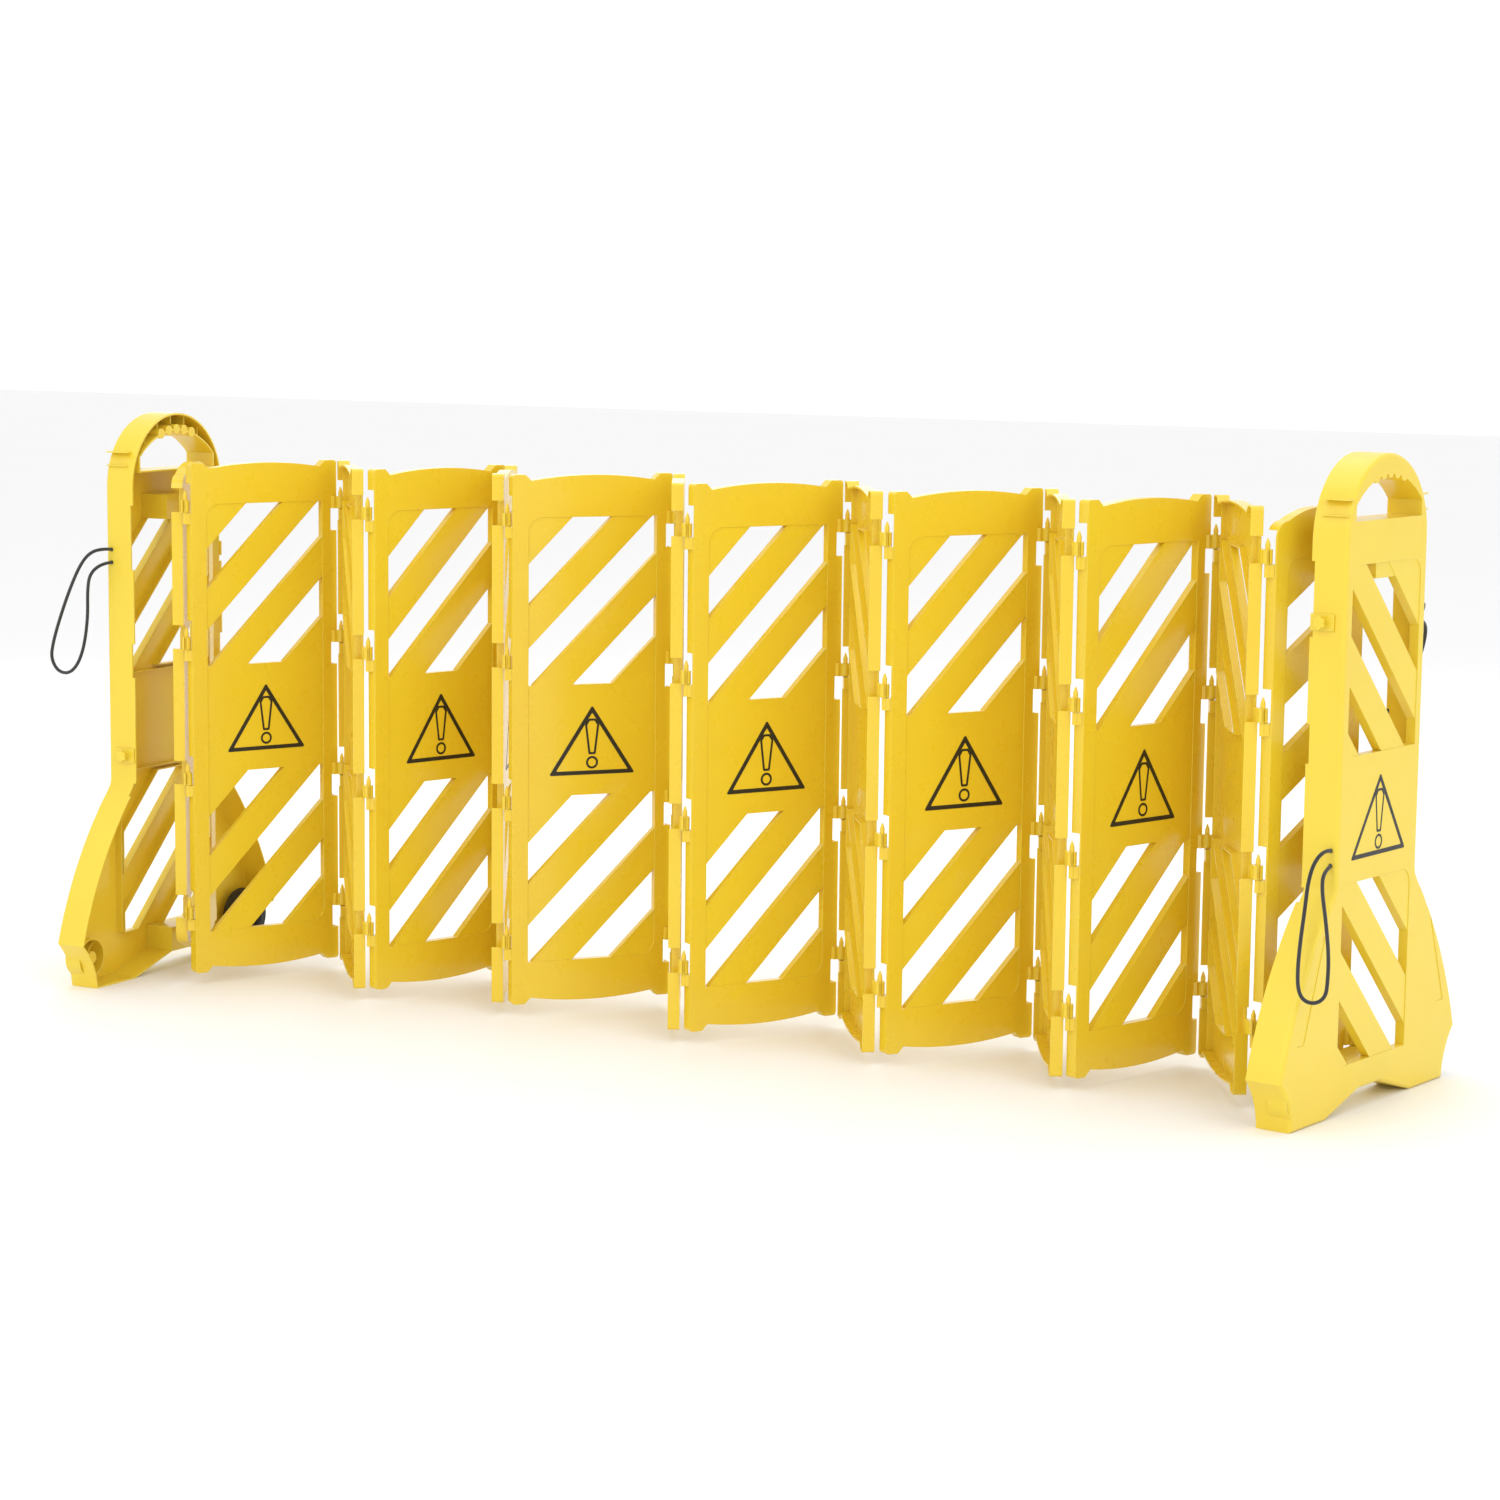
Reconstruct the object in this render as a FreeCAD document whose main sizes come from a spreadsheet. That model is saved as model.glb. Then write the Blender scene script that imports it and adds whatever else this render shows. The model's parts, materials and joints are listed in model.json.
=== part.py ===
import FreeCAD, Part
import math
import os

import Sketcher

# Folding crowd control barrier: two wheeled end stands joined by a zigzag of moulded panels.
# Millimetres. X runs along the barrier, Z is up, and the origin is the middle of the footprint.
# Every moulding is drawn in its own frame: X to the right as seen from its front, Y from the
# front skin to the open back, Z up.

SIZES = {
    # standard panel
    "panel_width": 290.0,
    "panel_height": 914.0,
    "panel_depth": 20.0,
    "skin": 3.0,
    "wall": 3.0,
    "corner_radius": 6.0,
    "horn_flat": 23.0,
    "horn_end": 34.0,
    "horn_drop": 10.5,
    "edge_sag": 9.0,
    "side_margin": 29.0,
    "end_band": 73.0,
    "field_radius": 26.0,
    "recess": 1.2,
    "window_height": 288.0,
    "slot_pitch": 144.5,
    "slot_height": 72.0,
    "slot_slope": 1.0,
    "collar": 2.4,
    "collar_depth": 14.0,
    "peg_hole": 8.0,
    "panel_lift": 21.0,
    # narrow link panel
    "link_width": 208.0,
    "link_height": 882.0,
    "link_lift": 29.0,
    "link_sag": 19.0,
    "link_radius": 26.0,
    "link_band": 76.0,
    "link_slope": 0.63,
    "link_slot_pitch": 149.0,
    "link_slot_height": 76.0,
    # hinge stations between panels
    "hinge_gap": 10.0,
    "hinge_proud": 6.5,
    "pin_inset": 6.0,
    "pin_radius": 4.0,
    "pin_length": 40.0,
    "pin_tip": 9.0,
    "pin_clearance": 0.1,
    "clip_radius": 8.0,
    "clip_height": 22.0,
    "clip_mouth": 5.0,
    "clip_lowest": 98.0,
    "clip_pitch": 243.0,
    "notch_depth": 12.0,
    "notch_long": 40.0,
    "notch_short": 20.0,
    "bracket_height": 20.0,
    "bracket_gap": 1.0,
    # pivot between a link panel and its stand
    "pivot_across": 60.0,
    "pivot_proud": 2.0,
    "pivot_radius": 5.0,
    "knuckle_radius": 9.0,
    "knuckle_height": 24.0,
    "knuckle_clearance": 0.1,
    "pivot_nose": 7.0,
    "boss_reach": 34.0,
    "boss_height": 44.0,
    "boss_lower": 33.0,
    "boss_upper": 826.0,
    # end stand
    "stand_height": 1016.0,
    "stand_half": 130.0,
    "stand_depth": 60.0,
    "stand_wall": 3.2,
    "knee_height": 354.0,
    "flare_half": 285.0,
    "flare_height": 81.0,
    "flare_radius": 680.0,
    "toe_half": 248.0,
    "toe_inner": 140.0,
    "arch_half": 32.0,
    "arch_height": 32.0,
    "hand_half": 106.0,
    "hand_bottom": 916.0,
    "hand_top": 984.0,
    "hand_side": 940.0,
    "grip_radius": 9.0,
    "grip_pitch": 22.0,
    "stand_field_half": 110.0,
    "upper_bottom": 558.0,
    "upper_top": 850.0,
    "lower_bottom": 77.0,
    "lower_top": 362.0,
    "stand_slot_pitch": 148.0,
    "stand_slot_height": 72.0,
    "stand_slot_shift": -33.0,
    "stand_flange_depth": 16.0,
    "stand_round": 6.5,
    "knee_run": 7.5,
    "knee_rise": 10.0,
    "knee_radius": 30.0,
    "toe_radius": 120.0,
    "upper_fixing": 763.5,
    "lower_fixing": 405.0,
    "rim_notch_depth": 5.0,
    "rim_notch_low": 334.0,
    "rim_notch_middle": 546.0,
    "rim_notch_high": 740.0,
    "rim_notch_short": 21.0,
    "rim_notch_medium": 61.0,
    "rim_notch_tall": 115.0,
    "channel_low_across": 228.0,
    "channel_low": 131.0,
    "channel_high_across": 171.0,
    "channel_high": 290.0,
    "channel_half": 12.0,
    "stiffener_gap": 8.0,
    # wheels
    "wheel_radius": 52.0,
    "wheel_width": 30.0,
    "wheel_across": 228.0,
    "wheel_height": 56.0,
    "wheel_inset": 17.0,
    "tread_round": 6.0,
    "hub_radius": 33.0,
    "hub_boss_radius": 12.0,
    "hub_web": 8.0,
    "hub_rim": 4.0,
    "axle_radius": 5.0,
    "axle_clearance": 0.05,
    "axle_boss_radius": 13.0,
    "push_nut_radius": 9.0,
    "push_nut_height": 4.0,
    "side_play": 1.0,
    "well_gap": 5.0,
    "foot_ring": 35.0,
    "foot_ring_height": 50.0,
    # latch hooks and elastic loops
    "hook_width": 40.0,
    "hook_height": 26.0,
    "hook_reach": 14.0,
    "hook_plate": 3.0,
    "hook_neck": 5.0,
    "hook_head": 11.0,
    "hook_inset": 38.0,
    "cord_diameter": 6.0,
    "cord_spread": 23.0,
    "cord_inset": 12.0,
    "cord_hole_clearance": 0.5,
    "stop_length": 5.0,
    "stop_margin": 4.0,
}

# Headings of the parts as the barrier stands half opened, in degrees from +X, left to right.
HEADINGS = {
    "stand_left": -90.5,
    "link_left": -68.0,
    "panels": (63.5, -50.5, 71.0, -63.0, 50.0, -61.5, 59.5, -55.5, 59.0, -61.5, 70.0, -58.5),
    "link_right": 68.5,
    "stand_right": 80.0,
}

doc = FreeCAD.newDocument("CrowdBarrier")
sheet = doc.addObject("Spreadsheet::Sheet", "Sizes")
for row, (alias, number) in enumerate(SIZES.items(), start=1):
    sheet.set(f"A{row}", alias)
    sheet.set(f"B{row}", str(number))
    sheet.setAlias(f"B{row}", alias)
doc.recompute()


class Size:
    """A number that remembers the sheet formula behind it."""

    def __init__(self, value, text):
        self.value = value
        self.text = text

    def __add__(self, other):
        return joined(self, "+", other, self.value + plain(other))

    def __sub__(self, other):
        return joined(self, "-", other, self.value - plain(other))

    def __mul__(self, other):
        return joined(self, "*", other, self.value * plain(other))

    def __truediv__(self, other):
        return joined(self, "/", other, self.value / plain(other))

    def __radd__(self, other):
        return joined(other, "+", self, plain(other) + self.value)

    def __rsub__(self, other):
        return joined(other, "-", self, plain(other) - self.value)

    def __rmul__(self, other):
        return joined(other, "*", self, plain(other) * self.value)

    def __neg__(self):
        return Size(-self.value, f"(0 - {self.text})")


def root(number):
    return Size(math.sqrt(plain(number)), f"sqrt({formula(number)})")


def plain(number):
    return number.value if isinstance(number, Size) else float(number)


def formula(number):
    return number.text if isinstance(number, Size) else repr(round(float(number), 6))


def joined(left, sign, right, value):
    return Size(value, f"({formula(left)} {sign} {formula(right)})")


def size(alias):
    return Size(SIZES[alias], f"Sizes.{alias}")


# ---- sketches and features ------------------------------------------------------------

def sketch_on(body, name, role, lift=None, shift=None):
    """Sketch on one of the body's own planes, lifted along its normal, shifted along X."""
    sketch = body.newObject("Sketcher::SketchObject", name)
    plane = [item for item in body.Origin.OriginFeatures if item.Role == role][0]
    sketch.AttachmentSupport = [(plane, "")]
    sketch.MapMode = "FlatFace"
    if lift is not None:
        sketch.setExpression("AttachmentOffset.Base.z", formula(lift))
    if shift is not None:
        sketch.setExpression("AttachmentOffset.Base.x", formula(shift))
    return sketch


def front_sketch(body, name, depth=0.0):
    """Sketch seen from the front, at a depth behind the front skin."""
    return sketch_on(body, name, "XZ_Plane", lift=0 - as_size(depth))


def level_sketch(body, name, level):
    """Sketch seen from above, at a height."""
    return sketch_on(body, name, "XY_Plane", lift=as_size(level))


def as_size(number):
    return number if isinstance(number, Size) else Size(float(number), formula(number))


def bind(sketch, kind, geometry, point, value):
    """Fix one coordinate of a sketch point to its formula."""
    index = sketch.addConstraint(Sketcher.Constraint(kind, -1, 1, geometry, point, plain(value)))
    if isinstance(value, Size):
        sketch.setExpression(f"Constraints[{index}]", value.text)


def point_of(corner):
    return FreeCAD.Vector(plain(corner[0]), plain(corner[1]), 0)


def bend_middle(start, end, radius):
    """Middle of the arc from start to end: a positive radius bulges to the right of the way."""
    chord = end - start
    half = chord.Length / 2
    reach = abs(radius)
    sag = reach - math.sqrt(max(reach * reach - half * half, 0.0))
    aside = FreeCAD.Vector(chord.y, -chord.x, 0).normalize()
    return start + chord * 0.5 + aside * math.copysign(sag, radius)


def closed_outline(sketch, corners):
    """Closed line through corners (x, y) or (x, y, radius), the radius bending the next edge."""
    first = sketch.GeometryCount
    count = len(corners)
    starts = []
    for step, corner in enumerate(corners):
        start = point_of(corner)
        end = point_of(corners[(step + 1) % count])
        if len(corner) == 3:
            middle = bend_middle(start, end, plain(corner[2]))
            edge = sketch.addGeometry(Part.Arc(start, middle, end), False)
            nearer = sketch.getPoint(edge, 1).distanceToPoint(start) < 1e-6
            starts.append(1 if nearer else 2)
        else:
            sketch.addGeometry(Part.LineSegment(start, end), False)
            starts.append(1)
    for step, corner in enumerate(corners):
        edge = first + step
        after = first + (step + 1) % count
        far_end = 3 - starts[step]
        near_end = starts[(step + 1) % count]
        sketch.addConstraint(Sketcher.Constraint("Coincident", edge, far_end, after, near_end))
        bind(sketch, "DistanceX", edge, starts[step], corner[0])
        bind(sketch, "DistanceY", edge, starts[step], corner[1])
        if len(corner) == 3:
            bound = as_size(corner[2])
            if bound.value < 0:
                bound = -bound
            index = sketch.addConstraint(Sketcher.Constraint("Radius", edge, bound.value))
            sketch.setExpression(f"Constraints[{index}]", bound.text)


def circle(sketch, across, up, radius):
    centre = FreeCAD.Vector(plain(across), plain(up), 0)
    edge = sketch.addGeometry(Part.Circle(centre, FreeCAD.Vector(0, 0, 1), plain(radius)), False)
    bind(sketch, "DistanceX", edge, 3, across)
    bind(sketch, "DistanceY", edge, 3, up)
    index = sketch.addConstraint(Sketcher.Constraint("Radius", edge, plain(radius)))
    sketch.setExpression(f"Constraints[{index}]", formula(radius))


def box_outline(left, right, low, high):
    return [(left, low), (right, low), (right, high), (left, high)]


def pad(body, name, sketch, length, backwards=False):
    feature = body.newObject("PartDesign::Pad", name)
    feature.Profile = sketch
    feature.setExpression("Length", formula(length))
    feature.Reversed = backwards
    return feature


def pocket(body, name, sketch, length, backwards=False):
    feature = body.newObject("PartDesign::Pocket", name)
    feature.Profile = sketch
    feature.setExpression("Length", formula(length))
    feature.Reversed = backwards
    return feature


def repeat_up(body, name, originals, pitch, count):
    """Repeat features upwards, count times in all."""
    pattern = body.newObject("PartDesign::LinearPattern", name)
    pattern.Originals = originals
    axis = [item for item in body.Origin.OriginFeatures if item.Role == "Z_Axis"][0]
    pattern.Direction = (axis, [""])
    pattern.setExpression("Length", formula(as_size(pitch) * (count - 1)))
    pattern.Occurrences = count
    body.Tip = pattern
    return pattern


def new_body(name):
    body = doc.addObject("PartDesign::Body", name)
    body.Label = name
    doc.recompute()
    return body


# ---- outlines -------------------------------------------------------------------------

def panel_outline(width, height, low, inset, radius):
    """Panel edge with four horns and a shallow arch between them, top and bottom."""
    flat = size("horn_flat")
    end = size("horn_end")
    drop = size("horn_drop")
    sag = size("edge_sag")
    chord = width - end - end
    arch = chord * chord / (sag * 8) + sag / 2
    left, right = as_size(inset), width - inset
    base, top = low + inset, low + height - inset
    if radius is None:
        return [
            (left, base), (flat, base), (end, base + drop, arch),
            (width - end, base + drop), (width - flat, base), (right, base),
            (right, top), (width - flat, top), (width - end, top - drop, arch),
            (end, top - drop), (flat, top), (left, top),
        ]
    return [
        (left + radius, base), (flat, base), (end, base + drop, arch),
        (width - end, base + drop), (width - flat, base), (right - radius, base, radius),
        (right, base + radius), (right, top - radius, radius),
        (right - radius, top), (width - flat, top), (width - end, top - drop, arch),
        (end, top - drop), (flat, top), (left + radius, top, radius),
        (left, top - radius), (left, base + radius, radius),
    ]


def link_outline(width, height, low, inset):
    """Link panel edge: rounded corners and an arched top and bottom, without horns."""
    radius = size("link_radius") - inset
    sag = size("link_sag")
    left, right = as_size(inset), width - inset
    base, top = low + sag + inset, low + height - sag - inset
    chord = width - (inset + radius) * 2
    arch = chord * chord / (sag * 8) + sag / 2
    return [
        (left + radius, base, arch), (right - radius, base, radius), (right, base + radius),
        (right, top - radius, radius), (right - radius, top, arch), (left + radius, top, radius),
        (left, top - radius), (left, base + radius, radius),
    ]


def clipped(corners, axis, limit, keep_above):
    """Part of a convex outline on one side of an upright or level line."""
    kept = []
    count = len(corners)
    for step, here in enumerate(corners):
        there = corners[(step + 1) % count]
        inside = is_inside(here, axis, limit, keep_above)
        if inside:
            kept.append(here)
        if inside != is_inside(there, axis, limit, keep_above):
            share = (limit - here[axis]) / (there[axis] - here[axis])
            other = 1 - axis
            crossing = here[other] + (there[other] - here[other]) * share
            kept.append((limit, crossing) if axis == 0 else (crossing, limit))
    return kept


def is_inside(corner, axis, limit, keep_above):
    if keep_above:
        return corner[axis].value > limit.value + 1e-9
    return corner[axis].value < limit.value - 1e-9


def slanted_slot(window, slope, offset, height):
    """Slanted strip through a window, cut off by its sides: offset is its rise off the middle."""
    left, right, low, high = window
    middle = (low + high) / 2 + offset
    rise = (right - left) / 2 * slope
    half = height / 2
    strip = [
        (left, middle - rise - half), (right, middle + rise - half),
        (right, middle + rise + half), (left, middle - rise + half),
    ]
    return clipped(clipped(strip, 1, low, True), 1, high, False)


def slot_set(window, slope, offsets, height, margin):
    """Slot outlines of a window, each grown by a margin all round."""
    left, right, low, high = window
    grown = (left - margin, right + margin, low - margin, high + margin)
    lean = math.sqrt(1 + plain(slope) ** 2)
    taller = height + margin * (2 * lean)
    found = [slanted_slot(grown, slope, offset, taller) for offset in offsets]
    return [outline for outline in found if len(outline) > 2]


def rounded_box(left, right, low, high, radius):
    return [
        (left + radius, low), (right - radius, low, radius), (right, low + radius),
        (right, high - radius, radius), (right - radius, high), (left + radius, high, radius),
        (left, high - radius), (left, low + radius, radius),
    ]


# ---- hinge halves ---------------------------------------------------------------------

def outward(width, side, reach):
    """Place across the panel, reach beyond its left (-1) or right (+1) edge."""
    return width + reach if side > 0 else 0 - as_size(reach)


def side_box(width, side, inner, outer, low, high):
    near, far = outward(width, side, inner), outward(width, side, outer)
    left, right = (near, far) if side > 0 else (far, near)
    return box_outline(left, right, low, high)


def mirrored_outline(width, side, corners):
    """Corners given as (reach beyond the edge, depth), turned for the side they are on."""
    turned = [(outward(width, side, reach), depth) for reach, depth in corners]
    return turned if side > 0 else turned[::-1]


def add_clips(body, width, side, below, above, stations):
    """Snap-on collars along one edge, each in a notch, reaching in front of the front skin."""
    depth = size("panel_depth")
    notch = size("notch_depth")
    level = size("clip_lowest")
    tall = size("clip_height")
    across = outward(width, side, size("hinge_gap") / 2)
    ahead = -size("hinge_proud")
    skin = size("skin")
    cut = front_sketch(body, "ClipNotchOutline")
    closed_outline(cut, side_box(width, side, -notch, 2, level - below, level + tall + above))
    features = [pocket(body, "ClipNotch", cut, depth)]
    neck = level_sketch(body, "ClipNeckOutline", level)
    closed_outline(neck, mirrored_outline(width, side, [
        (-notch - 1, skin), (-notch - 1, 0), (1.5 - notch, 0), (4 - notch, -5), (4, -5), (4, 0),
        (-3, skin),
    ]))
    features.append(pad(body, "ClipNeck", neck, tall))
    collar = level_sketch(body, "ClipCollarOutline", level)
    circle(collar, across, ahead, size("clip_radius"))
    features.append(pad(body, "ClipCollar", collar, tall))
    bore = level_sketch(body, "ClipBoreOutline", level + tall)
    circle(bore, across, ahead, size("pin_radius") + size("pin_clearance"))
    features.append(pocket(body, "ClipBore", bore, tall))
    mouth = level_sketch(body, "ClipMouthOutline", level + tall)
    half = size("clip_mouth") / 2
    reach = size("hinge_gap") / 2
    closed_outline(mouth, side_box(width, side, reach, reach + size("clip_radius") + 1,
                                   ahead - half, ahead + half))
    features.append(pocket(body, "ClipMouth", mouth, tall))
    repeat_up(body, "Clips", features, size("clip_pitch"), stations)


def add_pins(body, width, side, stations):
    """Upright pins on brackets along one edge, inside the depth, each in a notch of the wall."""
    depth = size("panel_depth")
    notch = size("notch_depth")
    skin = size("skin")
    top = size("clip_lowest") - size("bracket_gap")
    bottom = top - size("bracket_height")
    across = outward(width, side, size("hinge_gap") / 2)
    behind = depth - size("pin_inset")
    cut = front_sketch(body, "PinNotchOutline", skin)
    closed_outline(cut, side_box(width, side, -notch, 2, bottom, top + size("pin_length") + 12))
    features = [pocket(body, "PinNotch", cut, depth)]
    arm = level_sketch(body, "BracketOutline", bottom)
    half = size("pin_radius") + 0.5
    closed_outline(arm, mirrored_outline(width, side, [
        (-3, skin - 1), (size("hinge_gap") / 2, behind - half), (size("hinge_gap") / 2, behind + half),
        (-9, behind + half), (-9, skin - 1),
    ]))
    features.append(pad(body, "Bracket", arm, size("bracket_height")))
    nose = level_sketch(body, "BracketNoseOutline", bottom)
    circle(nose, across, behind, half)
    features.append(pad(body, "BracketNose", nose, size("bracket_height")))
    profile = sketch_on(body, "PinProfile", "XZ_Plane", lift=-behind, shift=across)
    shaft = top + size("pin_length") - size("pin_tip")
    closed_outline(profile, [
        (Size(0.0, "0"), top - 1), (size("pin_radius"), top - 1), (size("pin_radius"), shaft),
        (size("pin_radius") / 4, shaft + size("pin_tip")), (Size(0.0, "0"), shaft + size("pin_tip")),
    ])
    pin = body.newObject("PartDesign::Revolution", "Pin")
    pin.Profile = profile
    pin.ReferenceAxis = (profile, ["V_Axis"])
    pin.Angle = 360
    features.append(pin)
    repeat_up(body, "Pins", features, size("clip_pitch"), stations)


def add_knuckles(body, width, side, in_front):
    """Two closed knuckles that drop over the stand's pivot pins."""
    depth = size("panel_depth")
    tall = size("knuckle_height")
    ring = size("knuckle_radius")
    level = size("boss_lower") + size("boss_height") + size("bracket_gap") - size("panel_lift")
    reach = size("hinge_gap") / 2
    across = outward(width, side, reach)
    face = -size("hinge_proud") if in_front else depth + size("hinge_proud")
    cut = front_sketch(body, "KnuckleNotchOutline")
    low = level - size("boss_height") - 8
    closed_outline(cut, side_box(width, side, -size("notch_depth"), 2, low, level + tall))
    features = [pocket(body, "KnuckleNotch", cut, depth)]
    block = level_sketch(body, "KnuckleNeckOutline", level)
    near, far = (face + 1, depth) if in_front else (Size(0.0, "0"), face - 1)
    closed_outline(block, side_box(width, side, -size("notch_depth") - 2, reach - 2, near, far))
    features.append(pad(body, "KnuckleNeck", block, tall))
    collar = level_sketch(body, "KnuckleOutline", level)
    circle(collar, across, face, ring)
    features.append(pad(body, "Knuckle", collar, tall))
    bore = level_sketch(body, "KnuckleBoreOutline", level + tall)
    circle(bore, across, face, size("pivot_radius") + size("knuckle_clearance"))
    features.append(pocket(body, "KnuckleBore", bore, tall))
    repeat_up(body, "Knuckles", features, size("boss_upper") - size("boss_lower"), 2)


# ---- panels ---------------------------------------------------------------------------

def add_slots(body, windows, slope, offsets, height, flange, through):
    """Flanged slots: collars stand on the back of the skin, then the slots go through."""
    collars = front_sketch(body, "SlotCollarOutlines", size("skin") / 2)
    slots = front_sketch(body, "SlotOutlines")
    for window in windows:
        for outline in slot_set(window, slope, offsets, height, size("collar")):
            closed_outline(collars, outline)
        for outline in slot_set(window, slope, offsets, height, Size(0.0, "0")):
            closed_outline(slots, outline)
    pad(body, "SlotCollars", collars, flange - size("skin") / 2, backwards=True)
    pocket(body, "Slots", slots, through)


def add_ribs(body, boxes, depth):
    """Thin ribs on the back of the skin, each given as left, right, low, high."""
    sketch = front_sketch(body, "RibOutlines", size("skin") / 2)
    for left, right, low, high in boxes:
        closed_outline(sketch, box_outline(left, right, low, high))
    pad(body, "Ribs", sketch, depth, backwards=True)


def make_panel(name, clip_side):
    """Standard panel: a shell open at the back, with clips on one edge and pins on the other."""
    body = new_body(name)
    width, height, depth = size("panel_width"), size("panel_height"), size("panel_depth")
    skin, wall, margin = size("skin"), size("wall"), size("side_margin")
    floor = Size(0.0, "0")
    band = size("end_band")
    edge = front_sketch(body, "EdgeOutline")
    closed_outline(edge, panel_outline(width, height, floor, floor, size("corner_radius")))
    pad(body, "Slab", edge, depth, backwards=True)
    inside = front_sketch(body, "HollowOutline", skin)
    closed_outline(inside, panel_outline(width, height, floor, wall, None))
    pocket(body, "Hollow", inside, depth)
    left, right = margin, width - margin
    upper = (left, right, height - band - size("window_height"), height - band)
    lower = (left, right, band, band + size("window_height"))
    rib = size("collar")
    add_ribs(body, [
        (left - rib - 2, left - 2, wall - 1, height - wall + 1 - size("horn_drop")),
        (right + 2, right + 2 + rib, wall - 1, height - wall + 1 - size("horn_drop")),
    ], size("collar_depth") - skin)
    pitch = size("slot_pitch")
    add_slots(body, (upper, lower), size("slot_slope"), (-pitch, floor, pitch),
              size("slot_height"), size("collar_depth"), depth)
    field = front_sketch(body, "FieldOutline")
    closed_outline(field, rounded_box(left, right, band, height - band, size("field_radius")))
    pocket(body, "FieldRecess", field, size("recess"))
    if clip_side < 0:
        half = size("peg_hole") / 2
        pegs = front_sketch(body, "PegHoleOutlines")
        for level in (lower[3] + half + 6, upper[3] + half + 8):
            closed_outline(pegs, box_outline(width / 2 - half, width / 2 + half,
                                             level, level + size("peg_hole")))
        pocket(body, "PegHoles", pegs, depth)
    if clip_side > 0:
        add_clips(body, width, clip_side, size("notch_long"), floor, 4)
    else:
        add_clips(body, width, clip_side, floor, size("notch_short"), 4)
    add_pins(body, width, -clip_side, 4)
    doc.recompute()
    return body


def make_link(name, half_kind, half_side):
    """Narrow panel between the row and a stand: a hinge edge, and knuckles on the other edge."""
    body = new_body(name)
    width, height, depth = size("link_width"), size("link_height"), size("panel_depth")
    skin, wall, margin = size("skin"), size("wall"), size("side_margin")
    floor = Size(0.0, "0")
    low = size("link_lift")
    edge = front_sketch(body, "EdgeOutline")
    closed_outline(edge, link_outline(width, height, low, floor))
    pad(body, "Slab", edge, depth, backwards=True)
    inside = front_sketch(body, "HollowOutline", skin)
    closed_outline(inside, link_outline(width, height, low, wall))
    pocket(body, "Hollow", inside, depth)
    left, right = margin, width - margin
    field = (left, right, low + size("link_band"), low + height - size("link_band"))
    rib = size("collar")
    add_ribs(body, [
        (left - rib - 2, left - 2, low + size("link_sag") + wall, low + height - size("link_sag") - wall),
        (right + 2, right + 2 + rib, low + size("link_sag") + wall,
         low + height - size("link_sag") - wall),
    ], size("collar_depth") - skin)
    pitch = size("link_slot_pitch")
    rows = (pitch * 2, pitch, floor, floor - pitch * 1.23, floor - pitch * 2.23)
    add_slots(body, (field,), size("link_slope"), rows, size("link_slot_height"),
              size("collar_depth"), depth)
    recess = front_sketch(body, "FieldOutline")
    closed_outline(recess, rounded_box(field[0], field[1], field[2], field[3], size("field_radius")))
    pocket(body, "FieldRecess", recess, size("recess"))
    if half_kind == "clips":
        add_clips(body, width, half_side, floor, size("notch_short"), 4)
    else:
        add_pins(body, width, half_side, 4)
    add_knuckles(body, width, -half_side, half_kind == "pins")
    doc.recompute()
    return body


# ---- end stand ------------------------------------------------------------------------

def stand_outline(inset):
    """Stand edge seen from outside: two flared feet, straight sides and a round handle."""
    inset = as_size(inset)
    half = size("stand_half") - inset
    shoulder = size("stand_height") - size("stand_half")
    flare = size("flare_half") - inset
    toe = size("toe_half") - inset
    bend = size("flare_radius") - inset
    knee = half + size("knee_run")
    low, high = size("knee_height") - size("knee_rise"), size("knee_height") + size("knee_rise")
    hollow = -(size("knee_radius") + inset)
    scoop = -(size("toe_radius") + inset)
    corner = size("flare_height")
    arch = size("arch_height") + inset
    return [
        (-toe, inset), (-size("toe_inner"), inset), (-size("arch_half"), arch),
        (size("arch_half"), arch), (size("toe_inner"), inset), (toe, inset, scoop),
        (flare, corner, bend), (knee, low, hollow), (half, high),
        (half, shoulder, half), (Size(0.0, "0"), shoulder + half, half),
        (-half, shoulder), (-half, high, hollow), (-knee, low, bend), (-flare, corner, scoop),
    ]


def hand_hole(grown):
    """D-shaped hand hole, flat below and arched above, grown outwards."""
    grown = as_size(grown)
    half = size("hand_half") + grown
    bottom, side, top = size("hand_bottom") - grown, size("hand_side"), size("hand_top") + grown
    arch = arch_radius(half, top - side)
    return [(-half, bottom), (half, bottom), (half, side, arch), (-half, side)]


def arch_radius(half, rise):
    return half * half / (rise * 2) + rise / 2


def add_boss(body, side, level):
    """Hollow box from the plate out to the pivot axis, with a lid and the pivot pin on top."""
    wall, axis = size("stand_wall"), size("stand_depth") + size("pivot_proud")
    across, nose = size("pivot_across"), size("pivot_nose")
    tall = size("boss_height")
    near, far = -size("boss_reach") * side, (across + nose) * side
    left, right = (near, far) if side > 0 else (far, near)
    shell = level_sketch(body, "BossOutline", level)
    closed_outline(shell, box_outline(left, right, wall - 1, axis))
    closed_outline(shell, box_outline(left + wall, right - wall, wall, axis - wall))
    pad(body, "BossShell", shell, tall)
    lid = level_sketch(body, "BossLidOutline", level + tall - wall)
    closed_outline(lid, box_outline(left, right, wall - 1, axis))
    pad(body, "BossLid", lid, wall)
    tip = level_sketch(body, "BossNoseOutline", level)
    circle(tip, across * side, axis, nose)
    pad(body, "BossNose", tip, tall)
    pin = level_sketch(body, "PivotPinOutline", level + tall - 1)
    circle(pin, across * side, axis, size("pivot_radius"))
    pad(body, "PivotPin", pin, size("knuckle_height") + 10)


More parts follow.
